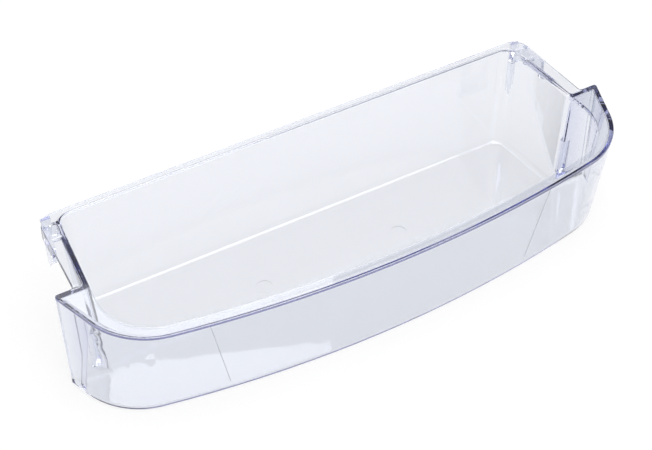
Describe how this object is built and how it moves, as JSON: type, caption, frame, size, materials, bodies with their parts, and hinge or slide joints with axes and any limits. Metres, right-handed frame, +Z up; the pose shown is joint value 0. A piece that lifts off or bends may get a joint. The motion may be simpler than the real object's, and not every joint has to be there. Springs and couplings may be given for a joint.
{
  "type": "refrigerator door shelf",
  "caption": "Clear moulded door shelf: narrow back part, wider bowed front, flat rim round the top and a hanging hook at each back corner; holds bottles and jars inside a refrigerator door.",
  "frame": {"origin": "middle of the shelf's length and depth, on the plane under its floor", "axes": "+X along the door to the right as seen from the front, +Y to the back, where the shelf meets the door, +Z up"},
  "size_m": [0.489, 0.1778, 0.1],
  "materials": {
    "clear_polystyrene": "clear glossy moulding with a faint blue violet tint"
  },
  "bodies": {
    "root": {"door_shelf": "clear_polystyrene"}
  },
  "joints": []
}
